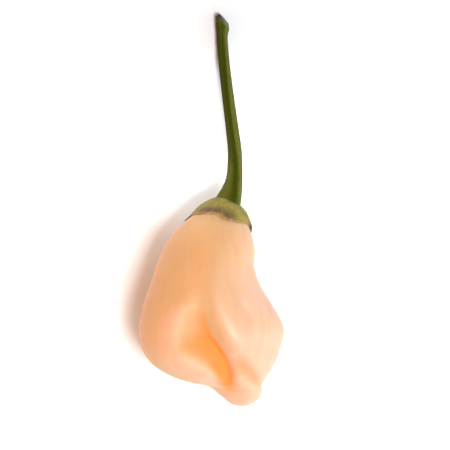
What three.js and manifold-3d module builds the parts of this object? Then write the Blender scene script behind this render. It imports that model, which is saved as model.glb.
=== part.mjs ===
// A fresh lantern-shaped chilli pepper with its calyx and stem, as picked, lying on its side.
//
// Millimetres, +Z up. The origin is the middle of the small flat spot that the pod rests on.
// +Y runs from the pod's blossom end to the stem's free end. Seen from above, with +Y up the
// page, a deep fold opens in the pod between its left lobe and its middle ridge.
import * as THREE from "three";
import { mergeVertices } from "three/addons/utils/BufferGeometryUtils.js";
import Module from "manifold-3d";

const wasm = await Module();
wasm.setup();

const { clamp, degToRad, euclideanModulo, lerp, smoothstep } = THREE.MathUtils;
const TURN = 2 * Math.PI;
const SMALL_STEP = 1e-3; // along or round a skin, to find which way it faces
const LEAST_SHARE = 1e-4; // keeps a skin's first ring off its pole
const MERGE_WITHIN = 1e-4;

// The pod, from the shoulder under the calyx to the tip of the nub at its blossom end. Each
// station is a section: where its left and right sides lie, seen from above, and how high its
// underside and its top are. The first and last stations are the two poles.
const POD_STATIONS = [
  { left: [2.3, 25.8], right: [2.3, 25.8], under: 13.3, top: 13.3 },
  { left: [-1.6, 25.2], right: [6.3, 24.3], under: 9.4, top: 17.4 },
  { left: [-4.5, 23.4], right: [8.1, 22.2], under: 7.0, top: 19.7 },
  { left: [-7.3, 21.0], right: [9.3, 19.3], under: 5.2, top: 21.7 },
  { left: [-10.3, 17.2], right: [10.1, 15.6], under: 3.4, top: 23.6 },
  { left: [-12.3, 12.6], right: [10.0, 11.7], under: 1.9, top: 25.1 },
  { left: [-14.1, 7.4], right: [11.4, 7.4], under: 0.6, top: 26.1 },
  { left: [-15.8, 2.3], right: [13.9, 3.3], under: -0.3, top: 26.7 },
  { left: [-16.6, -2.6], right: [16.7, -2.0], under: -0.5, top: 26.7 },
  { left: [-15.9, -7.0], right: [16.1, -6.2], under: 0.2, top: 25.9 },
  { left: [-13.2, -10.8], right: [14.9, -9.9], under: 1.5, top: 24.0 },
  { left: [-8.8, -13.5], right: [13.1, -13.1], under: 3.2, top: 21.2 },
  { left: [-4.1, -15.0], right: [11.7, -15.3], under: 4.9, top: 18.0 },
  { left: [-0.4, -15.7], right: [11.8, -16.9], under: 6.0, top: 15.9 },
  { left: [2.2, -17.8], right: [11.0, -18.6], under: 6.9, top: 14.3 },
  { left: [4.5, -19.7], right: [9.0, -20.0], under: 8.5, top: 12.4 },
  { left: [6.9, -20.3], right: [6.9, -20.3], under: 10.4, top: 10.4 },
];
const LAST_STATION = POD_STATIONS.length - 1;
const POD_PLUMPNESS = 2.2; // 2 would be elliptical sections
const POD_RINGS = 54;
const POD_SIDES = 60;

// The deep fold in the top, station by station: where its bottom lies across the section, from
// -1 at the left side to 1 at the right, how deep it is, and how far its two slopes reach.
const FOLD = {
  across: [
    0, 0, -0.1, -0.1, -0.08, -0.05, -0.06, -0.11, -0.06, 0.09, 0.2, 0.185, 0.05, -0.18, -0.34, -0.2, 0,
  ],
  depth: [0, 0, 0, 0.1, 0.2, 0.3, 0.35, 0.6, 1.4, 2.5, 2.9, 2.5, 1.6, 0.9, 0.35, 0, 0],
  leftReach: [4, 4, 4, 4, 4, 4, 4, 4.2, 4.8, 5.6, 5.2, 3.8, 2.6, 2, 1.6, 1.4, 1.4],
  rightReach: [3.5, 3.5, 3.5, 3.5, 3.8, 4, 3.8, 3.4, 3, 2.6, 2.3, 2.3, 2.6, 2.8, 2.4, 1.6, 1.4],
};
const FOLD_LEFT_POWER = 1.4;
const FOLD_CROWDING = 0.33; // how much the columns of the skin crowd towards the fold

// Softer ridges (rise > 0) and grooves (rise < 0). A path is seen from above and runs from the
// stem end to the tip; rise, and the reach to its left and right, are given at each point.
const TOP_RELIEF = [
  {
    name: "basin left of the fold",
    path: [[-3.2, 2.2], [-4.0, -1.4], [-4.2, -5.0], [-2.6, -8.2], [0.8, -11.0]],
    rise: [-0.1, -0.7, -0.9, -1.0, -0.5],
    left: [3.0, 4.2, 5.0, 5.0, 3.4],
    right: [3.0, 3.8, 4.4, 4.4, 3.2],
  },
  {
    name: "rim of the fold on the left lobe",
    path: [
      [-6.4, 7.0], [-7.2, 3.3], [-8.7, -0.9], [-9.6, -5.1],
      [-8.9, -8.8], [-5.1, -11.5], [-0.9, -13.2], [1.8, -14.2],
    ],
    rise: [0, 0.3, 0.5, 0.6, 0.6, 0.7, 0.8, 0.4],
    left: [3.0, 3.2, 3.4, 3.4, 3.2, 2.6, 2.0, 1.5],
    right: [2.8, 3.0, 3.0, 3.0, 2.8, 2.4, 2.0, 1.5],
  },
  {
    name: "middle ridge",
    path: [[0.2, 12.5], [0.7, 7.2], [1.8, 4.0], [3.3, 0], [5.0, -3.7], [8.0, -6.3], [11.3, -8.8]],
    rise: [0, 0.35, 0.5, 0.6, 0.6, 0.45, 0.2],
    left: [2.8, 2.8, 2.8, 2.8, 2.8, 2.6, 2.2],
    right: [2.4, 2.4, 2.6, 2.9, 3.2, 3.2, 2.8],
  },
  {
    name: "groove right of the middle ridge",
    path: [[4.6, 13.5], [5.3, 9.0], [6.3, 5.0], [7.8, 1.8], [9.3, -0.6], [10.4, -3.4]],
    rise: [0, -0.5, -0.75, -0.75, -0.5, 0],
    left: [1.4, 1.5, 1.6, 1.8, 2.0, 2.0],
    right: [1.4, 1.4, 1.5, 1.6, 1.7, 1.7],
  },
  {
    name: "right ridge",
    path: [[6.4, 16.5], [7.2, 9.9], [8.4, 5.8], [10.1, 2.0], [11.8, -2.4], [12.6, -6.5]],
    rise: [0, 0.35, 0.5, 0.5, 0.4, 0],
    left: [1.8, 1.9, 2.2, 2.5, 2.7, 2.7],
    right: [2.0, 2.2, 2.6, 3.0, 3.2, 3.2],
  },
  {
    name: "hollow above the nub",
    path: [[4.9, -8.2], [6.6, -10.2], [8.2, -12.0], [9.7, -13.8], [11.4, -15.3]],
    rise: [0, -1.0, -1.4, -1.3, -0.8],
    left: [1.6, 1.9, 2.0, 1.7, 1.2],
    right: [1.6, 1.9, 2.1, 1.6, 1.2],
  },
];
const UNDER_RELIEF = [
  {
    name: "left furrow",
    path: [[-3, 18], [-6.4, 10], [-8.6, 2], [-7.8, -5], [-3.4, -11], [2.4, -15.2]],
    rise: [0, 0.9, 1.5, 1.9, 2.2, 1.0],
    left: [2.6, 2.8, 3.0, 3.0, 2.6, 2.0],
    right: [2.6, 2.8, 3.0, 3.0, 2.6, 2.0],
  },
  {
    name: "right furrow",
    path: [[6, 17], [6.6, 10], [8.6, 2], [10.4, -5], [10.2, -11], [9.8, -15]],
    rise: [0, 0.8, 1.3, 1.6, 1.4, 0.6],
    left: [2.2, 2.4, 2.6, 2.6, 2.2, 1.8],
    right: [2.2, 2.4, 2.6, 2.6, 2.2, 1.8],
  },
];
const RELIEF_FADE = 0.75; // sine of the angle up a section's side by which relief is in full
const RELIEF_STEPS = 48;

// The calyx: a cap of green tissue that hugs the shoulder, with small teeth on its rim. Its
// reach is counted in stations of the pod, at equal steps round it from its right side over the
// top.
const CALYX_REACHES = [2.1, 2.24, 2.05, 1.68, 1.6, 1.78, 1.9, 2.1, 2.35, 2.4, 2.35, 2.2];
const CALYX_GAP = 0.3;
const CALYX_CENTRE_THICKNESS = 2.05;
const CALYX_RIM_THICKNESS = 0.4;
const CALYX_THINNING = 1.5;
const CALYX_SWELL = 0.45; // how much thicker it is on its right side
const CALYX_SWELL_EDGE = 0.5; // stations over which that comes in from the rim
const CALYX_RINGS = 8;
const CALYX_SIDES = 88;
const CALYX_AXIS = new THREE.Vector3(0.14, 0.98, -0.17).normalize();
const CALYX_POLE_SHARE = 0.6; // stations over which its thickness turns from the axis to the skin
const TOOTH_HALF_WIDTH = 0.13;
const CALYX_TEETH = [
  { angle: 0.05, length: 0.62 },
  { angle: 0.98, length: 0.1 },
  { angle: 2.05, length: 0.12 },
  { angle: 3.08, length: 0.5 },
  { angle: 4.25, length: 0.5 },
  { angle: 5.3, length: 0.45 },
];

// The stem, from the dry joint where it came off the plant down to its root in the calyx. Its
// foot flares to the left of its line, and a little up and down.
const STEM_LINE = [
  { at: [2.47, 70.35, 1.44], half: 1.4, flare: 0 },
  { at: [2.6, 67.9, 1.48], half: 1.43, flare: 0 },
  { at: [2.57, 65.8, 1.34], half: 1.27, flare: 0 },
  { at: [2.65, 63.4, 1.56], half: 1.22, flare: 0 },
  { at: [3.15, 57.5, 2.75], half: 1.27, flare: 0 },
  { at: [4.0, 50.4, 4.9], half: 1.35, flare: 0 },
  { at: [4.9, 43.4, 7.2], half: 1.45, flare: 0 },
  { at: [5.45, 38.7, 8.9], half: 1.55, flare: 0 },
  { at: [5.55, 35.2, 10.1], half: 1.63, flare: 0.05 },
  { at: [5.55, 32.2, 11.0], half: 1.64, flare: 0.4 },
  { at: [5.5, 30.2, 11.6], half: 1.65, flare: 1.1 },
  { at: [5.4, 28.6, 12.0], half: 1.66, flare: 1.8 },
  { at: [5.2, 27.0, 12.3], half: 1.68, flare: 2.4 },
  { at: [5.0, 25.6, 12.6], half: 1.68, flare: 2.6 },
];
const STEM_FLARE_LIFT = 0.3; // share of the flare that also goes up and down
const STEM_RIBS = 6;
const STEM_RIB_TURN = degToRad(55);
const STEM_RIB_HEIGHT = 0.05; // share of the half-width
const STEM_RIB_SHARPNESS = 0.98;
const STEM_RINGS = 48;
const STEM_SIDES = 24;
const STEM_CAP = 0.04; // share of the skin that closes each end
// The joint's end face slants both ways from a blunt point, and is domed: in half-widths.
const STEM_POINT_AT = -0.45;
const STEM_POINT_BLUNTNESS = 0.25;
const STEM_FACE_SLOPE = 1.35;
const STEM_FACE_DOME = 0.35;
const STEM_FACE_REACH = 0.2; // share of the stem over which the slant fades

// A closed skin over pointAt(u, v): u runs from the pole nearer the stem's free end to the other
// pole, and v once round, from the right side over the top.
function closedSkin(pointAt, rings, sides) {
  const positions = [];
  const faces = [];
  const add = (point) => positions.push(point.x, point.y, point.z);
  add(pointAt(0, 0));
  for (let i = 1; i < rings; i += 1) {
    for (let j = 0; j < sides; j += 1) add(pointAt(i / rings, j / sides));
  }
  add(pointAt(1, 0));
  const last = 1 + (rings - 1) * sides;
  const at = (i, j) => 1 + (i - 1) * sides + (j % sides);
  for (let j = 0; j < sides; j += 1) {
    faces.push(0, at(1, j + 1), at(1, j));
    faces.push(last, at(rings - 1, j), at(rings - 1, j + 1));
    for (let i = 1; i < rings - 1; i += 1) {
      faces.push(at(i, j), at(i + 1, j + 1), at(i + 1, j));
      faces.push(at(i, j), at(i, j + 1), at(i + 1, j + 1));
    }
  }
  const geometry = new THREE.BufferGeometry();
  geometry.setAttribute("position", new THREE.Float32BufferAttribute(positions, 3));
  geometry.setIndex(faces);
  return geometry;
}

function solidFrom(geometry) {
  const bare = geometry.clone();
  bare.deleteAttribute("normal");
  bare.deleteAttribute("uv");
  const merged = mergeVertices(bare, MERGE_WITHIN);
  return new wasm.Manifold(
    new wasm.Mesh({
      numProp: 3,
      vertProperties: merged.attributes.position.array,
      triVerts: new Uint32Array(merged.index.array),
    }),
  );
}

function geometryFrom(solid) {
  const mesh = solid.getMesh();
  const geometry = new THREE.BufferGeometry();
  geometry.setAttribute("position", new THREE.BufferAttribute(mesh.vertProperties, 3));
  geometry.setIndex(new THREE.BufferAttribute(mesh.triVerts, 1));
  return geometry;
}

// A smooth curve through a list of numbers, for t from 0 to 1; a closed one comes back round.
function valueAlong(list, t, closed = false) {
  const count = list.length;
  const x = t * (closed ? count : count - 1);
  const i = closed ? Math.floor(x) : Math.min(Math.floor(x), count - 2);
  const w = x - i;
  const pick = (k) => (closed ? list[euclideanModulo(k, count)] : list[clamp(k, 0, count - 1)]);
  const [a, b, c, d] = [pick(i - 1), pick(i), pick(i + 1), pick(i + 2)];
  const slopeB = (c - a) / 2;
  const slopeC = (d - b) / 2;
  const cubic = 2 * b - 2 * c + slopeB + slopeC;
  const square = 3 * c - 3 * b - 2 * slopeB - slopeC;
  return ((cubic * w + square) * w + slopeB) * w + b;
}

// Two closed curves give the sections' sides and heights, so that both poles come out round.
function roundTheStations(onTheWayThere, onTheWayBack) {
  const between = POD_STATIONS.slice(1, -1);
  return new THREE.CatmullRomCurve3(
    [
      onTheWayThere(POD_STATIONS[0]),
      ...between.map(onTheWayThere),
      onTheWayThere(POD_STATIONS[LAST_STATION]),
      ...between.toReversed().map(onTheWayBack),
    ],
    true,
    "catmullrom",
  );
}
const podPlan = roundTheStations(
  (station) => new THREE.Vector3(...station.left, 0),
  (station) => new THREE.Vector3(...station.right, 0),
);
const podHeights = roundTheStations(
  (station) => new THREE.Vector3(0, 0, station.top),
  (station) => new THREE.Vector3(0, 0, station.under),
);

function podSection(u) {
  const left = podPlan.getPoint(u / 2);
  const right = podPlan.getPoint(1 - u / 2);
  const top = podHeights.getPoint(u / 2).z;
  const under = podHeights.getPoint(1 - u / 2).z;
  const middle = left.clone().lerp(right, 0.5).setZ((top + under) / 2);
  return { middle, half: right.sub(left).multiplyScalar(0.5), halfHeight: (top - under) / 2 };
}

const signedPower = (x, power) => Math.sign(x) * Math.abs(x) ** power;

// The angle round a section at which a column of the skin lies: one column keeps to the bottom
// of the fold, and its neighbours crowd towards it.
function columnAngle(u, v) {
  const angle = v * TURN;
  const overTop = Math.max(0, Math.sin(angle)) ** 2;
  const foldAngle = Math.acos(signedPower(valueAlong(FOLD.across, u), POD_PLUMPNESS / 2));
  return angle + overTop * (FOLD_CROWDING * Math.sin(2 * angle) + foldAngle - TURN / 4);
}

function podBody(u, v) {
  const { middle, half, halfHeight } = podSection(u);
  const angle = columnAngle(u, v);
  middle.addScaledVector(half, signedPower(Math.cos(angle), 2 / POD_PLUMPNESS));
  middle.z += halfHeight * signedPower(Math.sin(angle), 2 / POD_PLUMPNESS);
  return middle;
}

for (const feature of [...TOP_RELIEF, ...UNDER_RELIEF]) {
  const curve = new THREE.SplineCurve(feature.path.map(([x, y]) => new THREE.Vector2(x, y)));
  feature.line = curve.getPoints(RELIEF_STEPS);
}

// The rise of one ridge or groove at a point seen from above.
function riseOf(feature, x, y) {
  let best = { distance: Infinity };
  for (let i = 0; i < RELIEF_STEPS; i += 1) {
    const a = feature.line[i];
    const b = feature.line[i + 1];
    const abx = b.x - a.x;
    const aby = b.y - a.y;
    const k = clamp(((x - a.x) * abx + (y - a.y) * aby) / (abx * abx + aby * aby), 0, 1);
    const dx = x - a.x - k * abx;
    const dy = y - a.y - k * aby;
    const distance = Math.hypot(dx, dy);
    if (distance < best.distance) {
      best = { distance, t: (i + k) / RELIEF_STEPS, onLeft: abx * dy - aby * dx < 0 };
    }
  }
  const reach = valueAlong(best.onLeft ? feature.left : feature.right, best.t);
  return valueAlong(feature.rise, best.t) * Math.exp(-((best.distance / reach) ** 2));
}

// How far the skin sinks into the fold, that far across from its bottom.
function foldSink(u, fromFold) {
  const slope =
    fromFold < 0
      ? (-fromFold / valueAlong(FOLD.leftReach, u)) ** FOLD_LEFT_POWER
      : (fromFold / valueAlong(FOLD.rightReach, u)) ** 2;
  return valueAlong(FOLD.depth, u) * Math.exp(-slope);
}

function podPoint(u, v) {
  const { half } = podSection(u);
  const point = podBody(u, v);
  const angle = columnAngle(u, v);
  const onTop = Math.sin(angle) > 0;
  const relief = onTop ? TOP_RELIEF : UNDER_RELIEF;
  let rise = relief.reduce((sum, feature) => sum + riseOf(feature, point.x, point.y), 0);
  if (onTop) {
    const across = signedPower(Math.cos(angle), 2 / POD_PLUMPNESS);
    rise -= foldSink(u, (across - valueAlong(FOLD.across, u)) * half.length());
  }
  point.z += rise * smoothstep(Math.abs(Math.sin(angle)), 0, RELIEF_FADE);
  return point;
}

// The body's outward normal, and near the first pole the calyx's own axis.
function shoulderNormal(u, v) {
  const along = podBody(u + SMALL_STEP, v).sub(podBody(u, v));
  const round = podBody(u, v + SMALL_STEP).sub(podBody(u, v - SMALL_STEP));
  const poleShare = smoothstep(u * LAST_STATION, 0, CALYX_POLE_SHARE);
  return CALYX_AXIS.clone().lerp(round.cross(along).normalize(), poleShare).normalize();
}

function calyxReach(v) {
  const angle = v * TURN;
  let reach = valueAlong(CALYX_REACHES, v, true);
  for (const tooth of CALYX_TEETH) {
    const apart = Math.abs(euclideanModulo(angle - tooth.angle + Math.PI, TURN) - Math.PI);
    reach += tooth.length * Math.exp(-((apart / TOOTH_HALF_WIDTH) ** 2));
  }
  return reach / LAST_STATION;
}

// The calyx's skin: out from the middle to the rim, and back along the pod's shoulder.
function calyxPoint(u, v) {
  const outside = u <= 0.5;
  const share = outside ? 2 * u : 2 * (1 - u);
  const podU = Math.max(share * calyxReach(v), LEAST_SHARE);
  const toRim = (1 - share) * calyxReach(v) * LAST_STATION;
  const onRight = Math.max(0, Math.cos(v * TURN)) * share;
  const swell = CALYX_SWELL * onRight * smoothstep(toRim, 0, CALYX_SWELL_EDGE);
  const cover = lerp(CALYX_RIM_THICKNESS, CALYX_CENTRE_THICKNESS, (1 - share) ** CALYX_THINNING);
  const offset = CALYX_GAP + (outside ? cover + swell : 0);
  return podBody(podU, v).addScaledVector(shoulderNormal(podU, v), offset);
}

const stemCurve = new THREE.CatmullRomCurve3(
  STEM_LINE.map((s) => new THREE.Vector3(...s.at)),
  false,
  "catmullrom",
);
const STEM_HALVES = STEM_LINE.map((s) => s.half);
const STEM_FLARES = STEM_LINE.map((s) => s.flare);
const UP = new THREE.Vector3(0, 0, 1);

function stemPoint(u, v, grow = 0) {
  const t = clamp((u - STEM_CAP) / (1 - 2 * STEM_CAP), 0, 1);
  const capShare = Math.min(u / STEM_CAP, (1 - u) / STEM_CAP, 1);
  const angle = v * TURN;
  const tangent = stemCurve.getTangent(t);
  const side = UP.clone().cross(tangent).normalize();
  const lift = tangent.clone().cross(side);
  const half = valueAlong(STEM_HALVES, t);
  const flare = valueAlong(STEM_FLARES, t);
  const wave = Math.abs(Math.cos((STEM_RIBS / 2) * (angle - STEM_RIB_TURN)));
  const rib = 1 - Math.sqrt(1 - STEM_RIB_SHARPNESS * wave);
  const radius = half * (1 + STEM_RIB_HEIGHT * (2 * rib - 1)) + grow;
  const across = (radius * Math.cos(angle) + flare * Math.min(0, Math.cos(angle))) * capShare;
  const upward = (radius + STEM_FLARE_LIFT * flare) * Math.sin(angle) * capShare;
  const slant = Math.hypot(across / half - STEM_POINT_AT, STEM_POINT_BLUNTNESS) - STEM_POINT_BLUNTNESS;
  const face = STEM_FACE_SLOPE * slant + STEM_FACE_DOME * (upward / half) ** 2;
  return stemCurve
    .getPoint(t)
    .addScaledVector(side, across)
    .addScaledVector(lift, upward)
    .addScaledVector(tangent, face * half * (1 - smoothstep(t, 0, STEM_FACE_REACH)));
}

const finish = (color, roughness) => new THREE.MeshStandardMaterial({ color, roughness, metalness: 0 });

// The pod, pressed flat by its own weight where it meets the surface.
const GROUND_SIZE = 100;
const GROUND_DEPTH = 10;
const ground = new THREE.BoxGeometry(GROUND_SIZE, GROUND_SIZE, GROUND_DEPTH);
ground.translate(0, 0, -GROUND_DEPTH / 2);
const podSolid = solidFrom(closedSkin(podPoint, POD_RINGS, POD_SIDES)).subtract(solidFrom(ground));
const pod = new THREE.Mesh(geometryFrom(podSolid), finish(0xfbb987, 0.35));
pod.name = "pod";

const stem = new THREE.Mesh(closedSkin(stemPoint, STEM_RINGS, STEM_SIDES), finish(0x5c6420, 0.6));
stem.name = "stem";

// The calyx, with a socket for the stem's foot that keeps clear of it all round and below.
const grownFoot = closedSkin((u, v) => stemPoint(u, v, CALYX_GAP), STEM_RINGS, STEM_SIDES);
grownFoot.translate(...CALYX_AXIS.clone().multiplyScalar(-CALYX_GAP).toArray());
const calyxSolid = solidFrom(closedSkin(calyxPoint, 2 * CALYX_RINGS, CALYX_SIDES));
const capWithSocket = calyxSolid.subtract(solidFrom(grownFoot));
const calyx = new THREE.Mesh(geometryFrom(capWithSocket), finish(0x92893f, 0.7));
calyx.name = "calyx";

const pepper = new THREE.Group();
pepper.add(pod, calyx, stem);

export default pepper;
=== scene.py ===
"""A fresh lantern-shaped chilli pepper lying on a pale floor, seen from straight above.

The pod, the calyx and the stem are closed skins over the same curves as their solids, at a
finer step. Lengths in the tables are millimetres in the frame's axes, and meshes are in metres.
"""
import math

import bpy
import numpy as np
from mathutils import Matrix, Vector


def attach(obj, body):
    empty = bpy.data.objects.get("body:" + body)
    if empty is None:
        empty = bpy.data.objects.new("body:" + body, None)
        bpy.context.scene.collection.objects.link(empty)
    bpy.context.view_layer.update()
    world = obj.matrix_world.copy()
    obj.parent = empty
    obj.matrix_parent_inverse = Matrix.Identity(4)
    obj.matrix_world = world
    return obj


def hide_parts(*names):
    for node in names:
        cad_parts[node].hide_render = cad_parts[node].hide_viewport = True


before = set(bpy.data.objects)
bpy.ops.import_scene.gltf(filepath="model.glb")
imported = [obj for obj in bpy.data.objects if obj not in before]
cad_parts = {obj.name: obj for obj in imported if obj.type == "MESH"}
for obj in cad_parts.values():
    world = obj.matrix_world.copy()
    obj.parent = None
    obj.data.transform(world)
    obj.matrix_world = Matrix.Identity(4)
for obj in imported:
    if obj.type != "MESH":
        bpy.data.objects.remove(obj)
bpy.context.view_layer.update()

MM = 0.001
TURN = 2 * math.pi

# The pod, from the shoulder under the calyx to the tip of the nub at its blossom end. Each row
# is a section: its left and right sides seen from above, the height of its underside and top.
POD_STATIONS = [
    ((2.3, 25.8), (2.3, 25.8), 13.3, 13.3),
    ((-1.6, 25.2), (6.3, 24.3), 9.4, 17.4),
    ((-4.5, 23.4), (8.1, 22.2), 7.0, 19.7),
    ((-7.3, 21.0), (9.3, 19.3), 5.2, 21.7),
    ((-10.3, 17.2), (10.1, 15.6), 3.4, 23.6),
    ((-12.3, 12.6), (10.0, 11.7), 1.9, 25.1),
    ((-14.1, 7.4), (11.4, 7.4), 0.6, 26.1),
    ((-15.8, 2.3), (13.9, 3.3), -0.3, 26.7),
    ((-16.6, -2.6), (16.7, -2.0), -0.5, 26.7),
    ((-15.9, -7.0), (16.1, -6.2), 0.2, 25.9),
    ((-13.2, -10.8), (14.9, -9.9), 1.5, 24.0),
    ((-8.8, -13.5), (13.1, -13.1), 3.2, 21.2),
    ((-4.1, -15.0), (11.7, -15.3), 4.9, 18.0),
    ((-0.4, -15.7), (11.8, -16.9), 6.0, 15.9),
    ((2.2, -17.8), (11.0, -18.6), 6.9, 14.3),
    ((4.5, -19.7), (9.0, -20.0), 8.5, 12.4),
    ((6.9, -20.3), (6.9, -20.3), 10.4, 10.4),
]
LAST_STATION = len(POD_STATIONS) - 1
POD_PLUMPNESS = 2.2  # 2 would be elliptical sections
POD_RINGS = 260
POD_SIDES = 300

# The deep fold in the top, station by station: where its bottom lies across the section, from
# -1 at the left side to 1 at the right, how deep it is, and how far its two slopes reach.
FOLD_ACROSS = [
    0, 0, -0.1, -0.1, -0.08, -0.05, -0.06, -0.11, -0.06, 0.09, 0.2, 0.185, 0.05, -0.18, -0.34, -0.2, 0
]
FOLD_DEPTH = [0, 0, 0, 0.1, 0.2, 0.3, 0.35, 0.6, 1.4, 2.5, 2.9, 2.5, 1.6, 0.9, 0.35, 0, 0]
FOLD_LEFT_REACH = [4, 4, 4, 4, 4, 4, 4, 4.2, 4.8, 5.6, 5.2, 3.8, 2.6, 2.0, 1.6, 1.4, 1.4]
FOLD_RIGHT_REACH = [3.5, 3.5, 3.5, 3.5, 3.8, 4, 3.8, 3.4, 3, 2.6, 2.3, 2.3, 2.6, 2.8, 2.4, 1.6, 1.4]
FOLD_LEFT_POWER = 1.4
FOLD_RIGHT_POWER = 2
FOLD_CROWDING = 0.33  # how much the columns of the skin crowd towards the fold

# The fold's painted shade and glow of bounced light, a deeper orange, station by station: how
# strong it is, and how far it reaches to the left and right of where it is deepest. That place is
# a little to the left of the fold's bottom.
FOLD_GLOW_AT = -0.5
FOLD_GLOW = [0, 0, 0, 0.1, 0.18, 0.22, 0.22, 0.28, 0.6, 1, 1, 1, 0.78, 0.43, 0.17, 0, 0]
FOLD_GLOW_LEFT = [5, 5, 5, 5, 5, 5, 5, 4.8, 7.4, 8.6, 4.9, 3.2, 2.4, 2, 1.6, 1.4, 1.4]
FOLD_GLOW_RIGHT = [3, 3, 3, 3, 3, 3, 3, 2, 1.3, 1.3, 1.3, 1.6, 2.4, 2.7, 2.2, 2, 2]
FOLD_GLOW_POWER = 1.7

# Softer ridges and grooves. A path is seen from above and runs from the stem end to the tip. At
# each of its points are given how far the skin is raised, so that a furrow under the pod has a
# positive rise too, and how far that reaches to the path's left and right as seen from above.
# Paleness is how much a ridge's painted highlight pales the skin.
FOLD_BASIN = {
    "path": [(-3.2, 2.2), (-4.0, -1.4), (-4.2, -5.0), (-2.6, -8.2), (0.8, -11.0)],
    "rise": [-0.1, -0.7, -0.9, -1.0, -0.5],
    "left": [3.0, 4.2, 5.0, 5.0, 3.4],
    "right": [3.0, 3.8, 4.4, 4.4, 3.2],
}
FOLD_RIM = {
    "path": [(-6.4, 7.0), (-7.2, 3.3), (-8.7, -0.9), (-9.6, -5.1), (-8.9, -8.8), (-5.1, -11.5),
             (-0.9, -13.2), (1.8, -14.2)],
    "rise": [0, 0.3, 0.5, 0.6, 0.6, 0.7, 0.8, 0.4],
    "left": [3.0, 3.2, 3.4, 3.4, 3.2, 2.6, 2.0, 1.5],
    "right": [2.8, 3.0, 3.0, 3.0, 2.8, 2.4, 2.0, 1.5],
    "paleness": 1.15,
}
MIDDLE_RIDGE = {
    "path": [(0.2, 12.5), (0.7, 7.2), (1.8, 4.0), (3.3, 0.0), (5.0, -3.7), (8.0, -6.3), (11.3, -8.8)],
    "rise": [0, 0.35, 0.5, 0.6, 0.6, 0.45, 0.2],
    "left": [2.8, 2.8, 2.8, 2.8, 2.8, 2.6, 2.2],
    "right": [2.4, 2.4, 2.6, 2.9, 3.2, 3.2, 2.8],
    "paleness": 0.7,
}
RIGHT_GROOVE = {
    "path": [(4.6, 13.5), (5.3, 9.0), (6.3, 5.0), (7.8, 1.8), (9.3, -0.6), (10.4, -3.4)],
    "rise": [0, -0.5, -0.75, -0.75, -0.5, 0],
    "left": [1.4, 1.5, 1.6, 1.8, 2.0, 2.0],
    "right": [1.4, 1.4, 1.5, 1.6, 1.7, 1.7],
}
RIGHT_RIDGE = {
    "path": [(6.4, 16.5), (7.2, 9.9), (8.4, 5.8), (10.1, 2.0), (11.8, -2.4), (12.6, -6.5)],
    "rise": [0, 0.35, 0.5, 0.5, 0.4, 0],
    "left": [1.8, 1.9, 2.2, 2.5, 2.7, 2.7],
    "right": [2.0, 2.2, 2.6, 3.0, 3.2, 3.2],
    "paleness": 0.8,
}
NUB_HOLLOW = {
    "path": [(4.9, -8.2), (6.6, -10.2), (8.2, -12.0), (9.7, -13.8), (11.4, -15.3)],
    "rise": [0, -1.0, -1.4, -1.3, -0.8],
    "left": [1.6, 1.9, 2.0, 1.7, 1.2],
    "right": [1.6, 1.9, 2.1, 1.6, 1.2],
}
UNDER_LEFT_FURROW = {
    "path": [(-3, 18), (-6.4, 10), (-8.6, 2), (-7.8, -5), (-3.4, -11), (2.4, -15.2)],
    "rise": [0, 0.9, 1.5, 1.9, 2.2, 1.0],
    "left": [2.6, 2.8, 3.0, 3.0, 2.6, 2.0],
    "right": [2.6, 2.8, 3.0, 3.0, 2.6, 2.0],
}
UNDER_RIGHT_FURROW = {
    "path": [(6, 17), (6.6, 10), (8.6, 2), (10.4, -5), (10.2, -11), (9.8, -15)],
    "rise": [0, 0.8, 1.3, 1.6, 1.4, 0.6],
    "left": [2.2, 2.4, 2.6, 2.6, 2.2, 1.8],
    "right": [2.2, 2.4, 2.6, 2.6, 2.2, 1.8],
}
TOP_RELIEF = [FOLD_BASIN, FOLD_RIM, MIDDLE_RIDGE, RIGHT_GROOVE, RIGHT_RIDGE, NUB_HOLLOW]
UNDER_RELIEF = [UNDER_LEFT_FURROW, UNDER_RIGHT_FURROW]

# Painted sheen: the skin is painted paler from left to right, towards the lit side, across a
# slanting line and over a reach to each side of it
SHEEN_MIDDLE = 4.5
SHEEN_SLANT = 0.14
SHEEN_REACH = 9.0

RELIEF_FADE = 0.75  # sine of the angle up a section's side by which relief is in full
RELIEF_STEPS = 48  # straight steps that stand in for a path
FLAT_SPOT_EDGE = 0.12  # height over which the resting spot rounds into the pod

# The calyx: a cap of green tissue that hugs the shoulder, with small teeth on its rim. Its
# reach down the pod is counted in stations of the pod, and is given at equal steps round it,
# from its right side over the top to its left side and back underneath.
CALYX_REACHES = [2.1, 2.24, 2.05, 1.68, 1.6, 1.78, 1.9, 2.1, 2.35, 2.4, 2.35, 2.2]
# The rim is uneven by three waves: how many go round, how high they are and where they start.
CALYX_WAVES = [(5, 0.04, 0.6), (11, 0.024, 0), (17, 0.016, 2)]
CALYX_GAP = 0.02
CALYX_CENTRE_THICKNESS = 2.3
CALYX_RIM_THICKNESS = 0.17
CALYX_THINNING = 1.5  # power by which it thins from its centre to its rim
CALYX_SWELL = 0.55  # how much thicker it is on its right side
CALYX_SWELL_EDGE = 0.5  # stations over which that comes in from the rim
CALYX_RIM_ROUND = 0.07  # stations over which its edge is rounded
CALYX_RINGS = 60
CALYX_SIDES = 420
CALYX_AXIS = np.array([0.14, 0.98, -0.17])
CALYX_AXIS_REACH = 0.6  # stations over which its axis gives way to the shoulder's own direction
CALYX_POLE_KEEP = 1e-4  # how far its middle keeps from the pod's pole, as a share of the pod
TOOTH_HALF_WIDTH = 0.055  # radians round the calyx
CALYX_TOOTH_FADE = 0.35  # stations over which the green turns into a tooth's dark brown
# Its teeth: the angle round the calyx, and the length in stations.
CALYX_TEETH = [(0.05, 0.8), (0.98, 0.1), (2.05, 0.12), (3.08, 0.7), (4.25, 0.6), (5.3, 0.55)]

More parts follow.
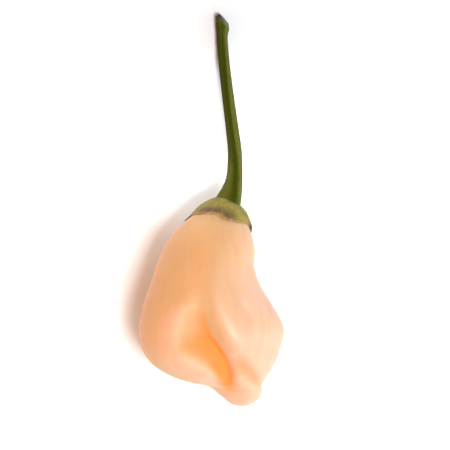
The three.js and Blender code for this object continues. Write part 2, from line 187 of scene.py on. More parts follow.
# The stem, from the dry joint where it came off the plant down to its root in the calyx: a
# point on its line, its half-width, and the flare of its foot to the left.
STEM_LINE = [
    ((2.47, 70.35, 1.44), 1.4, 0),
    ((2.6, 67.9, 1.48), 1.43, 0),
    ((2.57, 65.8, 1.34), 1.27, 0),
    ((2.65, 63.4, 1.56), 1.22, 0),
    ((3.15, 57.5, 2.75), 1.27, 0),
    ((4.0, 50.4, 4.9), 1.35, 0),
    ((4.9, 43.4, 7.2), 1.45, 0),
    ((5.45, 38.7, 8.9), 1.55, 0),
    ((5.55, 35.2, 10.1), 1.63, 0.05),
    ((5.55, 32.2, 11.0), 1.64, 0.4),
    ((5.5, 30.2, 11.6), 1.65, 1.1),
    ((5.4, 28.6, 12.0), 1.66, 1.8),
    ((5.2, 27.0, 12.3), 1.68, 2.4),
    ((5.0, 25.6, 12.6), 1.68, 2.6),
]
STEM_FLARE_LIFT = 0.3
STEM_RIBS = 6
STEM_RIB_TURN = math.radians(55)
STEM_RIB_HEIGHT = 0.05
STEM_RIB_SHARPNESS = 0.98  # 1 would be sharp crests
# The pale stripe is a painted highlight on the stem's lit right side
STEM_STRIPE_TO_RIGHT = 0.6  # the pale stripe fades more slowly to its right
STEM_STRIPE_DRIFT = math.radians(18)  # how far it turns to the right towards both ends
STEM_STRIPE_MIDDLE = 0.45
STEM_STRIPE_DRIFT_SPAN = (0.06, 0.2)
STEM_RINGS = 300
STEM_SIDES = 120
STEM_CAP = 0.04  # share of the rings that closes each end

# The joint's end face slants both ways from a blunt point, and is domed: in half-widths.
STEM_POINT_AT = -0.45
STEM_POINT_BLUNTNESS = 0.25
STEM_FACE_SLOPE = 1.35
STEM_FACE_DOME = 0.35
STEM_FACE_REACH = 0.2  # share of the stem over which the slant fades


# Curves and values

DIFFERENCE_STEP = 1e-3  # step by which the shoulder's direction is measured
TANGENT_STEP = 1e-4  # and by which the stem's is


def smooth(x, low=0.0, high=1.0):
    t = np.clip((x - low) / (high - low), 0, 1)
    return t * t * (3 - 2 * t)


def through(values, t, closed=False):
    """A smooth curve through values, for t from 0 to 1; a closed one comes back to its start."""
    values = np.asarray(values, float)
    count = len(values)
    x = np.asarray(t, float) * (count if closed else count - 1)
    i = np.floor(x).astype(int)
    if not closed:
        i = np.minimum(i, count - 2)
    w = x - i
    a, b, c, d = (
        values[k % count if closed else np.clip(k, 0, count - 1)] for k in (i - 1, i, i + 1, i + 2)
    )
    w = w.reshape(w.shape + (1,) * (b.ndim - w.ndim))
    slope_b = (c - a) / 2
    slope_c = (d - b) / 2
    cubic = 2 * b - 2 * c + slope_b + slope_c
    square = 3 * c - 3 * b - 2 * slope_b - slope_c
    return ((cubic * w + square) * w + slope_b) * w + b


def signed_power(x, power):
    return np.sign(x) * np.abs(x) ** power


def bell(distance):
    return np.exp(-(distance**2))


def unit(vectors):
    return vectors / np.linalg.norm(vectors, axis=-1, keepdims=True)


# The pod

def round_the_stations(there, back):
    """A closed loop of points: one side of the sections to the tip, and the other side back."""
    first, *between, last = POD_STATIONS
    return [there(first), *map(there, between), there(last), *map(back, reversed(between))]


POD_PLAN = round_the_stations(lambda s: s[0], lambda s: s[1])
POD_HEIGHTS = round_the_stations(lambda s: s[3], lambda s: s[2])


def pod_section(u):
    """The middle of a section, the step from there to its right side, and half its height."""
    left = through(POD_PLAN, u / 2, closed=True)
    right = through(POD_PLAN, 1 - u / 2, closed=True)
    top = through(POD_HEIGHTS, u / 2, closed=True)
    under = through(POD_HEIGHTS, 1 - u / 2, closed=True)
    middle = np.concatenate([(left + right) / 2, ((top + under) / 2)[..., None]], axis=-1)
    half = np.concatenate([(right - left) / 2, np.zeros_like(top)[..., None]], axis=-1)
    return middle, half, (top - under) / 2


def column_angle(u, v):
    """One column of the skin keeps to the bottom of the fold, and its neighbours crowd to it."""
    angle = v * TURN
    over_top = np.maximum(0, np.sin(angle)) ** 2
    fold_angle = np.arccos(signed_power(through(FOLD_ACROSS, u), POD_PLUMPNESS / 2))
    return angle + over_top * (FOLD_CROWDING * np.sin(2 * angle) + fold_angle - TURN / 4)


def pod_body(u, v):
    """Points of the pod's skin before any fold, ridge or groove."""
    middle, half, half_height = pod_section(u)
    angle = column_angle(u, v)
    point = middle + half * signed_power(np.cos(angle), 2 / POD_PLUMPNESS)[..., None]
    point[..., 2] += half_height * signed_power(np.sin(angle), 2 / POD_PLUMPNESS)
    return point


def rise_of(feature, point):
    """How far a ridge or groove raises the skin at each point."""
    line = through(feature["path"], np.linspace(0, 1, RELIEF_STEPS + 1))
    start = line[:-1]
    step = line[1:] - start
    away = point[..., None, :2] - start
    k = np.clip((away * step).sum(-1) / (step**2).sum(-1), 0, 1)
    off = away - k[..., None] * step
    distance = np.hypot(off[..., 0], off[..., 1])
    best = distance.argmin(-1)[..., None]
    nearest = np.take_along_axis(distance, best, -1)[..., 0]
    t = (best[..., 0] + np.take_along_axis(k, best, -1)[..., 0]) / RELIEF_STEPS
    turn = step[:, 0] * off[..., 1] - step[:, 1] * off[..., 0]
    on_left = np.take_along_axis(turn, best, -1)[..., 0] < 0
    reach = np.where(on_left, through(feature["left"], t), through(feature["right"], t))
    return through(feature["rise"], t) * bell(nearest / reach)


def relief_at(point, on_top):
    """How far all ridges and grooves raise the skin, and how much their painted highlights pale it.
    """
    rise = np.zeros(len(point))
    crest_highlight = np.zeros(len(point))
    for features, where in ((TOP_RELIEF, on_top), (UNDER_RELIEF, ~on_top)):
        for feature in features:
            feature_rise = rise_of(feature, point[where])
            rise[where] += feature_rise
            # A ridge's paleness is a painted highlight
            crest_highlight[where] += np.maximum(0, feature_rise) * feature.get("paleness", 0)
    return rise, crest_highlight


def fold_depth(u, from_fold):
    left_slope = (np.maximum(-from_fold, 0) / through(FOLD_LEFT_REACH, u)) ** FOLD_LEFT_POWER
    right_slope = (np.maximum(from_fold, 0) / through(FOLD_RIGHT_REACH, u)) ** FOLD_RIGHT_POWER
    return through(FOLD_DEPTH, u) * np.exp(-left_slope - right_slope)


def fold_glow(u, from_fold):
    from_glow = from_fold - FOLD_GLOW_AT
    reach = np.where(from_glow < 0, through(FOLD_GLOW_LEFT, u), through(FOLD_GLOW_RIGHT, u))
    return through(FOLD_GLOW, u) * np.exp(-((np.abs(from_glow) / reach) ** FOLD_GLOW_POWER))


def resting(height):
    """The skin's height, rounded off into the flat spot that the pod rests on."""
    low = FLAT_SPOT_EDGE * np.exp(np.minimum(height / FLAT_SPOT_EDGE - 1, 0))
    return np.where(height > FLAT_SPOT_EDGE, height, low)


def pod_surface(u, v):
    """Points of the pod's skin, and for its colours the fold's painted shade and glow, the depth of
    the hollow in the nub for its painted shade, the height of the crests' painted highlights, how
    much painted sheen that side has, and the station."""
    _, half, _ = pod_section(u)
    width = np.linalg.norm(half, axis=-1)
    body = pod_body(u, v)
    angle = column_angle(u, v)
    fade = smooth(np.abs(np.sin(angle)), 0, RELIEF_FADE)
    on_top = np.sin(angle) > 0
    across = signed_power(np.cos(angle), 2 / POD_PLUMPNESS)
    from_fold = (across - through(FOLD_ACROSS, u)) * width
    rise, crest_highlight = relief_at(body, on_top)
    point = body.copy()
    point[..., 2] += (rise - fold_depth(u, from_fold) * on_top) * fade
    point[..., 2] = resting(point[..., 2])
    # The fold's painted shade and glow
    glow = fold_glow(u, from_fold) * fade * on_top
    # The hollow's depth, for its painted shade
    hollow = np.zeros_like(u)
    hollow[on_top] = -rise_of(NUB_HOLLOW, body[on_top])
    # The paleness to the right is a painted sheen on the lit side
    pale = smooth(body[..., 0] - SHEEN_MIDDLE - SHEEN_SLANT * body[..., 1], -SHEEN_REACH, SHEEN_REACH)
    return point, glow, hollow, crest_highlight, pale, u * LAST_STATION


# The calyx

def shoulder_normal(u, v):
    """The direction out of the shoulder, which is the calyx's own axis at its middle."""
    along = pod_body(u + DIFFERENCE_STEP, v) - pod_body(u, v)
    around = pod_body(u, v + DIFFERENCE_STEP) - pod_body(u, v - DIFFERENCE_STEP)
    share = smooth(u * LAST_STATION, 0, CALYX_AXIS_REACH)[..., None]
    return unit(unit(CALYX_AXIS) * (1 - share) + unit(np.cross(around, along)) * share)


def calyx_reach(v):
    """How far the calyx reaches down the pod, in stations, and how much of that is a tooth."""
    angle = v * TURN
    reach = through(CALYX_REACHES, v, closed=True)
    for count, height, start in CALYX_WAVES:
        reach += height * np.sin(count * angle + start)
    tooth = np.zeros_like(angle)
    for tooth_angle, length in CALYX_TEETH:
        apart = np.abs((angle - tooth_angle + math.pi) % TURN - math.pi)
        tooth += length * bell(apart / TOOTH_HALF_WIDTH)
    return reach + tooth, tooth


def calyx_surface(u, v):
    """Points of the calyx, out over its top and back under it, how far each is from the rim in
    stations, and how much it is part of a tooth."""
    outside = u <= 0.5
    share = np.where(outside, 2 * u, 2 * (1 - u))
    reach, tooth = calyx_reach(v)
    pod_u = np.maximum(share * reach / LAST_STATION, CALYX_POLE_KEEP)
    to_rim = (1 - share) * reach
    swell = CALYX_SWELL * np.maximum(0, np.cos(v * TURN)) * smooth(to_rim / CALYX_SWELL_EDGE) * share
    thickness = CALYX_RIM_THICKNESS + swell
    thickness += (CALYX_CENTRE_THICKNESS - CALYX_RIM_THICKNESS) * (1 - share) ** CALYX_THINNING
    thickness *= np.sqrt(1 - (1 - np.clip(to_rim / CALYX_RIM_ROUND, 0, 1)) ** 2)
    offset = CALYX_GAP + np.where(outside, thickness, 0)
    point = pod_body(pod_u, v) + shoulder_normal(pod_u, v) * offset[..., None]
    in_tooth = smooth((tooth - to_rim) / CALYX_TOOTH_FADE)
    return point, to_rim, in_tooth


# The stem

def face_slant(width, height):
    """How far the joint's end face lies behind its point, in half-widths of the stem."""
    slant = np.hypot(width - STEM_POINT_AT, STEM_POINT_BLUNTNESS) - STEM_POINT_BLUNTNESS
    return STEM_FACE_SLOPE * slant + STEM_FACE_DOME * height**2


def stripe_angle(angle, t):
    """The angle from the pale stripe of painted highlight, counted less to the right, where the
    stripe is wider.
    """
    off_middle = smooth(np.abs(t - STEM_STRIPE_MIDDLE), *STEM_STRIPE_DRIFT_SPAN)
    stripe_turn = STEM_RIB_TURN - STEM_STRIPE_DRIFT * off_middle
    apart = (angle - stripe_turn + math.pi) % TURN - math.pi
    return np.where(apart < 0, -STEM_STRIPE_TO_RIGHT * apart, apart)


def stem_surface(u, v):
    """Points of the stem, the share of the way along it, the height of the ribs from 0 to 1,
    and the angle from the pale stripe of painted highlight."""
    t = np.clip((u - STEM_CAP) / (1 - 2 * STEM_CAP), 0, 1)
    cap_share = np.minimum(np.minimum(u, 1 - u) / STEM_CAP, 1)
    angle = v * TURN
    line = [row[0] for row in STEM_LINE]
    before = through(line, np.maximum(t - TANGENT_STEP, 0))
    tangent = unit(through(line, np.minimum(t + TANGENT_STEP, 1)) - before)
    side = unit(np.cross([0.0, 0.0, 1.0], tangent))
    lift = np.cross(tangent, side)
    half = through([row[1] for row in STEM_LINE], t)
    flare = through([row[2] for row in STEM_LINE], t)
    off_groove = np.abs(np.cos(STEM_RIBS / 2 * (angle - STEM_RIB_TURN)))
    rib = 1 - np.sqrt(1 - off_groove * STEM_RIB_SHARPNESS)
    radius = half * (1 + STEM_RIB_HEIGHT * (2 * rib - 1))
    across = (radius * np.cos(angle) + flare * np.minimum(0, np.cos(angle))) * cap_share
    upward = (radius + STEM_FLARE_LIFT * flare) * np.sin(angle) * cap_share
    at_joint = 1 - smooth(t, 0, STEM_FACE_REACH)
    back = face_slant(across / half, upward / half) * half * at_joint
    point = through(line, t) + tangent * back[..., None]
    point += side * across[..., None] + lift * upward[..., None]
    return point, t, rib, stripe_angle(angle, t)


# Meshes

def faces_between_poles(rings, sides):
    """Faces over a pole, the points of rings - 1 rings and a second pole."""
    i, j = np.meshgrid(np.arange(rings - 2), np.arange(sides), indexing="ij")
    here = 1 + i * sides + j
    beside = 1 + i * sides + (j + 1) % sides
    quads = np.stack([here, beside, beside + sides, here + sides], axis=-1).reshape(-1, 4)
    ring = np.arange(sides)
    next_in_ring = (ring + 1) % sides
    first_pole = np.zeros_like(ring)
    last_ring = 1 + (rings - 2) * sides
    last_pole = np.full_like(ring, last_ring + sides)
    first_fan = np.stack([first_pole, 1 + next_in_ring, 1 + ring], axis=-1)
    last_fan = np.stack([last_pole, last_ring + ring, last_ring + next_in_ring], axis=-1)
    return quads.tolist() + first_fan.tolist() + last_fan.tolist()


def closed_skin(name, rings, sides, surface, attributes):
    """A closed mesh over surface(u, v), with poles at u = 0 and 1 and a value per point for
    each name in attributes."""
    ring_u = np.arange(1, rings) / rings
    side_v = np.arange(sides) / sides
    u_grid, v_grid = np.meshgrid(ring_u, side_v, indexing="ij")
    u = np.concatenate([[0], u_grid.ravel(), [1]])
    v = np.concatenate([[0], v_grid.ravel(), [0]])
    point, *values = surface(u, v)
    mesh = bpy.data.meshes.new(name)
    mesh.from_pydata((point * MM).tolist(), [], faces_between_poles(rings, sides))
    mesh.validate()
    mesh.shade_smooth()
    for key, value in zip(attributes, values):
        attribute = mesh.attributes.new(key, "FLOAT", "POINT")
        attribute.data.foreach_set("value", value.astype(np.float32))
    piece = bpy.data.objects.new(name, mesh)
    bpy.context.scene.collection.objects.link(piece)
    return piece


pod = closed_skin(
    "pod_skin", POD_RINGS, POD_SIDES, pod_surface, ["glow", "hollow", "crest_highlight", "pale", "along"]
)
calyx = closed_skin(
    "calyx_cap", 2 * CALYX_RINGS, CALYX_SIDES, calyx_surface, ["to_rim", "in_tooth"]
)
stem = closed_skin(
    "stem_stalk", STEM_RINGS, STEM_SIDES, stem_surface, ["along", "rib", "from_stripe"]
)


# Materials

class Nodes:
    """A node tree, with short calls for the few kinds of node used here."""

    def __init__(self, tree):
        self.tree = tree

    def add(self, kind, settings=(), **inputs):
        node = self.tree.nodes.new(kind)
        for key, value in dict(settings).items():
            setattr(node, key, value)
        self.feed_all(node, inputs)
        return node

    def feed(self, socket, value):
        if isinstance(value, bpy.types.NodeSocket):
            self.tree.links.new(value, socket)
        else:
            socket.default_value = value

    def feed_all(self, node, inputs):
        """Feed a node's inputs, named with _ for each space in the name."""
        for key, value in inputs.items():
            self.feed(node.inputs[key.replace("_", " ")], value)

    def attribute(self, name):
        return self.add("ShaderNodeAttribute", {"attribute_name": name}).outputs["Fac"]

    def place(self, stretch=(1, 1, 1)):
        """The point on the piece in millimetres, squeezed by stretch."""
        spot = self.add("ShaderNodeTexCoord").outputs["Object"]
        scale = tuple(s / MM for s in stretch)
        return self.add("ShaderNodeMapping", Vector=spot, Scale=scale).outputs["Vector"]

    def math(self, operation, a, b=0.0, clamp=False):
        node = self.add("ShaderNodeMath", {"operation": operation, "use_clamp": clamp})
        self.feed(node.inputs[0], a)
        self.feed(node.inputs[1], b)
        return node.outputs[0]

    def product(self, first, *others):
        for other in others:
            first = self.math("MULTIPLY", first, other)
        return first

    def span(self, value, low, high, to_low=0.0, to_high=1.0, curve="SMOOTHSTEP"):
        """value from low to high, mapped to to_low to to_high."""
        ends = {"From_Min": low, "From_Max": high, "To_Min": to_low, "To_Max": to_high}
        node = self.add("ShaderNodeMapRange", {"interpolation_type": curve}, Value=value, **ends)
        return node.outputs["Result"]

    def mix(self, share, a, b):
        node = self.add("ShaderNodeMix", {"data_type": "RGBA"})
        colours = [s for s in node.inputs if s.type == "RGBA"]
        self.feed(node.inputs["Factor"], share)
        for socket, colour in zip(colours, (a, b)):
            self.feed(socket, colour if isinstance(colour, bpy.types.NodeSocket) else (*colour, 1))
        return [s for s in node.outputs if s.type == "RGBA"][0]

    def noise(self, size, detail=3.0, rough=0.5, stretch=(1, 1, 1)):
        """Noise from 0 to 1 with features of about size millimetres."""
        spread = {"Scale": 1 / size, "Detail": detail, "Roughness": rough}
        return self.add("ShaderNodeTexNoise", Vector=self.place(stretch), **spread).outputs["Fac"]

    def patches(self, span, **noise):
        """Patches of a noise, made into a share by a span."""
        return self.span(self.noise(**noise), *span)

    def grain(self, depth, strength, under=None, **noise):
        """A fine relief of noise, depth millimetres deep, on top of the one under it."""
        node = self.add(
            "ShaderNodeBump", Height=self.noise(**noise), Distance=depth * MM, Strength=strength
        )
        if under is not None:
            self.feed(node.inputs["Normal"], under)
        return node.outputs["Normal"]


class Surface(Nodes):
    """A material of its own, with inputs for its shader."""

    def __init__(self, name, **inputs):
        self.material = bpy.data.materials.new(name)
        self.material.use_nodes = True
        super().__init__(self.material.node_tree)
        self.finish(**inputs)

    def finish(self, **inputs):
        """Feed the shader's inputs, and give the material."""
        self.feed_all(self.tree.nodes["Principled BSDF"], inputs)
        return self.material


# The materials. A span has the two values that it runs between and, where these aren't 0 and 1,
# the two that it gives there. A noise has the size of its features in millimetres, its detail
# and roughness, and how much it is squeezed each way.

PEACH = (0.56, 0.34, 0.15)
# The pale peach of the painted sheen, the painted highlights and the specks
PEACH_PALE = (0.68, 0.41, 0.285)
PEACH_DEEP = (0.56, 0.25, 0.085)
# Painted shade and glow of bounced light in the fold and the hollow
FOLD_SHADE_ORANGE = (0.78, 0.2, 0.001)
SCAR_BROWN = (0.16, 0.09, 0.045)
SHOULDER_TAN = (0.45, 0.20, 0.08)
POD_SHADER = {
    "Specular_IOR_Level": 0.6,
    "Coat_Weight": 0.15,
    "Coat_Roughness": 0.5,
    "Subsurface_Weight": 0.8,
    "Subsurface_Radius": (1.0, 0.38, 0.14),
    "Subsurface_Scale": 0.005,
}
POD_ROUGHNESS = {"size": 1.5, "span": (0.3, 0.7, 0.47, 0.56)}
POD_UNEVEN = {"size": 6.0, "detail": 2.0}
POD_UNEVENNESS = 0.5
NOISE_MIDDLE = 0.5
POD_STREAKS = {"size": 1.6, "rough": 0.6, "stretch": (1, 0.12, 1), "span": (0.4, 0.75, 0, 0.25)}
# Painted highlights on the crests
CREST_HIGHLIGHT_SPAN = (0.1, 0.8, 0, 0.75)
CREST_OVER_ORANGE = 0.7  # how much of the orange a pale crest hides
# Painted shade and glow in the fold
GLOW_SPAN = (0, 0.8)
# Painted shade in the hollow over the nub
HOLLOW_SHADE_SPAN = (0.2, 1.5, 0, 0.5)
SHOULDER_SPAN = (1.7, 2.5, 0.7, 0)  # in stations, as is the scar's
SHOULDER_PATCHES = {"size": 0.9, "span": (0.3, 0.7)}
SCAR_SPAN = (15.82, 15.95)
SPECK_SIZE = 0.9
SPECK_SPAN = (0.05, 0.16, 0.22, 0)
POD_FINE_GRAIN = {"size": 0.55, "detail": 2.0, "depth": 0.03, "strength": 0.5}
POD_SOFT_GRAIN = {
    "size": 2.2, "detail": 2.0, "stretch": (1, 0.45, 1), "depth": 0.12, "strength": 0.5
}


def pod_skin():
    """Peach skin, paler to the right with painted sheen and on the crests with painted highlights,
    and orange with painted shade and glow in the fold and the hollow.
    """
    n = Surface("pod_skin", **POD_SHADER)
    # Painted highlights on the crests
    crest_highlight = n.span(n.attribute("crest_highlight"), *CREST_HIGHLIGHT_SPAN)
    off_middle = n.math("SUBTRACT", n.noise(**POD_UNEVEN), NOISE_MIDDLE)
    uneven = n.product(off_middle, POD_UNEVENNESS)
    # Painted sheen to the right and painted highlights on the crests, made uneven by patches
    paleness = n.math("ADD", n.math("ADD", n.attribute("pale"), crest_highlight), uneven, clamp=True)
    colour = n.mix(paleness, PEACH, PEACH_PALE)
    colour = n.mix(n.patches(**POD_STREAKS), colour, PEACH_DEEP)
    # Painted shade and glow of bounced light in the fold
    glow = n.span(n.attribute("glow"), *GLOW_SPAN)
    # Painted shade in the hollow over the nub
    hollow = n.span(n.attribute("hollow"), *HOLLOW_SHADE_SPAN)
    off_crest = n.math("SUBTRACT", 1.0, n.product(crest_highlight, CREST_OVER_ORANGE))
    # Both painted in orange, less where a crest has its painted highlight
    deep = n.product(n.math("ADD", glow, hollow, clamp=True), off_crest)
    colour = n.mix(deep, colour, FOLD_SHADE_ORANGE)
    along = n.attribute("along")
    by_calyx = n.product(n.span(along, *SHOULDER_SPAN), n.patches(**SHOULDER_PATCHES))
    colour = n.mix(by_calyx, colour, SHOULDER_TAN)
    colour = n.mix(n.span(along, *SCAR_SPAN), colour, SCAR_BROWN)
    specks = n.add("ShaderNodeTexVoronoi", Vector=n.place(), Scale=1 / SPECK_SIZE)
    colour = n.mix(n.span(specks.outputs["Distance"], *SPECK_SPAN), colour, PEACH_PALE)
    skin = n.grain(**POD_SOFT_GRAIN, under=n.grain(**POD_FINE_GRAIN))
    return n.finish(Base_Color=colour, Normal=skin, Roughness=n.patches(**POD_ROUGHNESS))


CALYX_OLIVE = (0.19, 0.152, 0.026)
CALYX_LIME = (0.29, 0.24, 0.036)
CALYX_GREY_BROWN = (0.115, 0.07, 0.032)
CALYX_RIM_BROWN = (0.38, 0.2, 0.085)
CALYX_TOOTH = (0.075, 0.05, 0.03)
CALYX_SHADER = {
    "Roughness": 0.6,
    "Specular_IOR_Level": 0.3,
    "Subsurface_Weight": 0.15,
    "Subsurface_Radius": (1.0, 0.8, 0.2),
    "Subsurface_Scale": 0.0012,
}
CALYX_LIME_PATCHES = {"size": 2.4, "detail": 4.0, "rough": 0.6, "span": (0.35, 0.65)}
CALYX_BROWN_PATCHES = {"size": 1.8, "detail": 5.0, "rough": 0.65, "span": (0.25, 0.55)}
CALYX_BROWN_BAND = (1.0, 0.35, 0, 1)  # in stations from the rim, as is the rim's own band
CALYX_BROWN_AT = 1.6  # the X where it is brownest, in millimetres, as is how far that reaches
CALYX_BROWN_REACH = (2.8, 5.2, 1, 0.15)
CALYX_RIM_BAND = (0.26, 0, 0, 1)
CALYX_RIM_PATCHES = {"size": 1.2, "detail": 4.0, "span": (0.25, 0.6, 0.5, 1)}
CALYX_FINE_GRAIN = {"size": 0.35, "detail": 4.0, "rough": 0.6, "depth": 0.08, "strength": 0.8}
CALYX_SOFT_GRAIN = {"size": 1.3, "depth": 0.25, "strength": 0.6}


def calyx_tissue():
    """Mottled olive, with a grey-brown patch above the rim, a brown rim and dark teeth."""
    n = Surface("calyx_tissue", **CALYX_SHADER)
    to_rim = n.attribute("to_rim")
    colour = n.mix(n.patches(**CALYX_LIME_PATCHES), CALYX_OLIVE, CALYX_LIME)
    across = n.add("ShaderNodeSeparateXYZ", Vector=n.place()).outputs["X"]
    off_patch = n.math("ABSOLUTE", n.math("SUBTRACT", across, CALYX_BROWN_AT))
    brown = n.product(
        n.patches(**CALYX_BROWN_PATCHES),
        n.span(to_rim, *CALYX_BROWN_BAND),
        n.span(off_patch, *CALYX_BROWN_REACH),
    )
    colour = n.mix(brown, colour, CALYX_GREY_BROWN)
    rim = n.product(n.span(to_rim, *CALYX_RIM_BAND), n.patches(**CALYX_RIM_PATCHES))
    colour = n.mix(rim, colour, CALYX_RIM_BROWN)
    colour = n.mix(n.attribute("in_tooth"), colour, CALYX_TOOTH)
    relief = n.grain(**CALYX_SOFT_GRAIN, under=n.grain(**CALYX_FINE_GRAIN))
    return n.finish(Base_Color=colour, Normal=relief)


STEM_GREEN = (0.045, 0.053, 0.002)
# Painted highlight on the rib tops and painted shade in the grooves
STEM_RIB_HIGHLIGHT = (0.062, 0.07, 0.004)
STEM_GROOVE_SHADE = (0.036, 0.044, 0.001)
# The pale stripe's painted highlight, also used for the lighter side of the foot
STEM_STRIPE = (0.115, 0.127, 0.022)
# Painted shade beside the pale stripe
STEM_SHADE_GREEN = (0.029, 0.036, 0.0005)
STEM_DARK = (0.024, 0.028, 0.001)
STEM_STRIPE_BROWN = (0.12, 0.075, 0.02)
STEM_PALE = (0.155, 0.15, 0.085)
STEM_CUT_BROWN = (0.06, 0.04, 0.025)
STEM_SHADER = {"Roughness": 0.5, "Specular_IOR_Level": 0.04}
STEM_STREAKS = {"size": 0.45, "detail": 4.0, "rough": 0.6, "stretch": (1, 0.06, 1)}
STEM_STREAK_SPAN = (0.35, 0.65)
STEM_GROOVE_SPAN = (0.1, 0.8)
STEM_RIB_SPAN = (0.5, 0.95)
STRIPE_STREAK_SPAN = (0.25, 0.6, 0.4, 1)
STRIPE_BROWN_PATCHES = {"size": 1.6, "span": (0.4, 0.6)}
PALE_END_PATCHES = {"size": 0.8, "span": (0.25, 0.6, 0.5, 1)}
# In radians from the pale stripe of painted highlight: the stripe, its brown line, the band of
# painted shade beside it and the lighter side of the foot
STRIPE_SPAN = (0.85, 0.1, 0, 1)
STRIPE_BROWN_SPAN = (0.1, 0.02, 0, 0.55)
SHADE_START = (0.3, 0.6)
SHADE_END = (1.5, 0.9, 0, 0.75)
FOOT_SIDE = (0.9, 1.7, 0, 0.5)
# In shares of the stem from its free end
SHADE_BY_TIP = (0.2, 0.38, 0.2, 1)
SHADE_BY_FOOT = (0.55, 0.75, 1, 0.55)
FOOT_SPAN = (0.56, 0.66)
DARKER_END = (0.6, 0.42, 0, 0.15)
PALE_END = (0.06, 0, 0, 1)
CUT_END = (0.05, 0.02, 0, 1)
CUT_ACROSS = (3.2, 2.0, 0, 1)  # in millimetres along X
STEM_GRAIN = {**STEM_STREAKS, "depth": 0.12, "strength": 0.7}


def stem_tissue():
    """Streaky dark green, with painted shade in the grooves and painted highlights on the ribs, a
    pale stripe of painted highlight to the right of a band of painted shade, and a dry end.
    """
    n = Surface("stem_tissue", **STEM_SHADER)
    rib = n.attribute("rib")
    along = n.attribute("along")
    from_stripe = n.attribute("from_stripe")
    streak = n.noise(**STEM_STREAKS)
    # Painted shade in the grooves and painted highlights on the rib tops
    colour = n.mix(n.span(rib, *STEM_GROOVE_SPAN), STEM_GROOVE_SHADE, STEM_GREEN)
    rib_highlight = n.product(n.span(rib, *STEM_RIB_SPAN), n.span(streak, *STEM_STREAK_SPAN))
    colour = n.mix(rib_highlight, colour, STEM_RIB_HIGHLIGHT)
    # The pale stripe, a painted highlight
    stripe = n.product(n.span(from_stripe, *STRIPE_SPAN), n.span(streak, *STRIPE_STREAK_SPAN))
    colour = n.mix(stripe, colour, STEM_STRIPE)
    foot = n.product(n.span(along, *FOOT_SPAN), n.span(from_stripe, *FOOT_SIDE))
    colour = n.mix(foot, colour, STEM_STRIPE)
    # Painted shade beside the pale stripe
    painted_shade = n.product(
        n.span(from_stripe, *SHADE_START),
        n.span(from_stripe, *SHADE_END),
        n.span(along, *SHADE_BY_TIP),
        n.span(along, *SHADE_BY_FOOT),
    )
    colour = n.mix(painted_shade, colour, STEM_SHADE_GREEN)
    brown = n.product(
        n.span(from_stripe, *STRIPE_BROWN_SPAN), n.patches(**STRIPE_BROWN_PATCHES)
    )
    colour = n.mix(brown, colour, STEM_STRIPE_BROWN)
    colour = n.mix(n.span(along, *DARKER_END), colour, STEM_DARK)
    pale_end = n.product(n.span(along, *PALE_END), n.patches(**PALE_END_PATCHES))
    colour = n.mix(pale_end, colour, STEM_PALE)
    across = n.add("ShaderNodeSeparateXYZ", Vector=n.place()).outputs["X"]
    cut = n.product(n.span(across, *CUT_ACROSS), n.span(along, *CUT_END))
    colour = n.mix(cut, colour, STEM_CUT_BROWN)
    return n.finish(Base_Color=colour, Normal=n.grain(**STEM_GRAIN))


for piece, node, slot, material in (
    (pod, "pod", "pod_skin", pod_skin()),
    (calyx, "calyx", "calyx_tissue", calyx_tissue()),
    (stem, "stem", "stem_tissue", stem_tissue()),
):
    piece.data.materials.append(material)
    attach(piece, "root")
    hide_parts(node)


# Floor

FLOOR_SIZE = 6.0  # metres
FLOOR_SHADER = {"Roughness": 0.6, "Specular_IOR_Level": 0.3}
PAPER_WHITE = (0.9, 0.9, 0.9)
PAPER_BY_TIP = (0.62, 0.635, 0.65)  # duller there, so that the faint shade of the stem's tip shows
TIP_ON_PAPER = (2.5, 68.0, 0.0)
TIP_REACH = 22.0

bpy.ops.mesh.primitive_plane_add(size=FLOOR_SIZE)
floor = bpy.context.object
floor.name = "floor"
paper = Surface("floor", **FLOOR_SHADER)
from_tip = paper.add("ShaderNodeVectorMath", {"operation": "DISTANCE"})
paper.feed(from_tip.inputs[0], paper.place())
paper.feed(from_tip.inputs[1], TIP_ON_PAPER)
by_tip = paper.span(from_tip.outputs["Value"], TIP_REACH, 0)
floor.data.materials.append(paper.finish(Base_Color=paper.mix(by_tip, PAPER_WHITE, PAPER_BY_TIP)))


# Lamps

PHOTO_CENTRE = (3.22, 21.39, 12.0)
LEFT_LOBE = (-6.0, -2.0, 9.0)
SHOULDER = (-5.0, 24.0, 12.0)
NECK_SHADE = (-2.0, 31.0, 0.0)
STEM_SHADE = (0.6, 44.3, 0.0)
WHITE = (1.0, 1.0, 1.0)
WARM = (1.0, 0.84, 0.7)
ORANGE = (1.0, 0.33, 0.09)
CREAM = (1.0, 1.0, 0.95)
PALE_BLUE = (0.7, 0.88, 1.0)
SKY_BLUE = (0.45, 0.82, 1.0)

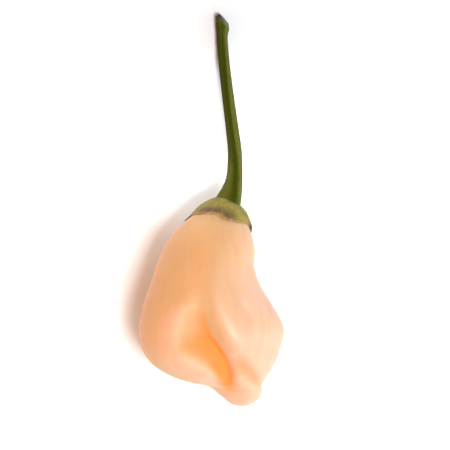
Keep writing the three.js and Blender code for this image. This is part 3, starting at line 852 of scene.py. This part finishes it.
# Each row is a lamp: its name, the point that it faces, its direction from there, its distance
# and its width and length in metres, its power in watts and its colour. The first five are the
# studio's. The others are small and near, and fill the pod's left side and the shade on the paper.
LAMPS = [
    ("key_light", PHOTO_CENTRE, (0.272, -0.225, 1.0), 1.0, (0.36, 0.36), 11.6, WHITE),
    ("side_light", PHOTO_CENTRE, (1.0, -0.15, 0.4), 0.8, (0.6, 0.6), 1.05, WHITE),
    ("left_light", PHOTO_CENTRE, (-1.0, -0.1, 0.2), 0.8, (0.5, 0.5), 1.2, WARM),
    ("front_light", PHOTO_CENTRE, (0.5, -1.0, 0.4), 0.8, (0.5, 0.5), 1.5, WHITE),
    ("back_light", PHOTO_CENTRE, (-0.4, 1.0, 0.5), 0.8, (0.5, 0.5), 0.2, WHITE),
    ("warm_fill", LEFT_LOBE, (-1.0, 0.1, 0.6), 0.12, (0.08, 0.08), 0.055, ORANGE),
    ("shoulder_fill", SHOULDER, (-7.0, 20.0, 12.0), 0.0245, (0.025, 0.025), 0.0033, CREAM),
    ("neck_fill", NECK_SHADE, (-0.7, 0.1, 0.8), 0.012, (0.012, 0.012), 0.0007, SKY_BLUE),
    ("stem_fill", STEM_SHADE, (0.0, 0.0, 1.0), 0.0015, (0.006, 0.027), 0.00022, PALE_BLUE),
]


def add_lamp(name, towards, direction, distance, size, power, colour):
    light = bpy.data.lights.new(name, "AREA")
    light.shape = "RECTANGLE"
    light.size, light.size_y = size
    light.energy = power
    light.color = colour
    lamp = bpy.data.objects.new(name, light)
    lamp.location = Vector(towards) * MM + Vector(direction).normalized() * distance
    lamp.rotation_euler = Vector(direction).to_track_quat("Z", "Y").to_euler()
    lamp.visible_camera = False
    bpy.context.scene.collection.objects.link(lamp)


for lamp_row in LAMPS:
    add_lamp(*lamp_row)


# Studio walls

WALL_LIGHT = 0.24
CEILING_LIGHT = 0.36
CEILING_RISE = (0.35, 0.9)  # how far up a direction points where the ceiling comes in
WALL_TILT = 0.85  # how much more light comes from the right, as a share
WALL_WARM = (1.0, 0.84, 0.74)
WALL_WHITE = (1.0, 0.97, 0.95)
WARMTH_REACH = 0.6


def studio_walls():
    """Pale walls all round, dim and warm on the left, under a lighter ceiling."""
    world = bpy.data.worlds.new("studio")
    world.use_nodes = True
    n = Nodes(world.node_tree)
    direction = n.add("ShaderNodeTexCoord").outputs["Generated"]
    split = n.add("ShaderNodeSeparateXYZ", Vector=direction).outputs
    light = n.span(split["Z"], *CEILING_RISE, WALL_LIGHT, CEILING_LIGHT)
    tilt = n.math("ADD", n.product(split["X"], WALL_TILT), 1.0)
    whiteness = n.span(split["X"], -WARMTH_REACH, WARMTH_REACH, curve="LINEAR")
    wall = n.mix(whiteness, WALL_WARM, WALL_WHITE)
    n.feed_all(n.tree.nodes["Background"], {"Color": wall, "Strength": n.product(light, tilt)})
    return world


bpy.context.scene.world = studio_walls()


# Camera

PHOTO_PIXELS = 450
PIXEL = 0.23  # millimetres that the photograph's pixel covers at the pod's sides
CAMERA_DISTANCE = 1.4  # metres, as is how far it sees
CAMERA_REACH = 20.0
SENSOR = 36.0  # millimetres

camera_data = bpy.data.cameras.new("camera")
camera_data.sensor_width = SENSOR
camera_data.lens = SENSOR * CAMERA_DISTANCE / (PHOTO_PIXELS * PIXEL * MM)
camera_data.clip_end = CAMERA_REACH
camera = bpy.data.objects.new("camera", camera_data)
camera.location = Vector(PHOTO_CENTRE) * MM + Vector((0, 0, CAMERA_DISTANCE))
bpy.context.scene.collection.objects.link(camera)
bpy.context.scene.camera = camera
bpy.context.scene.view_settings.view_transform = "Standard"
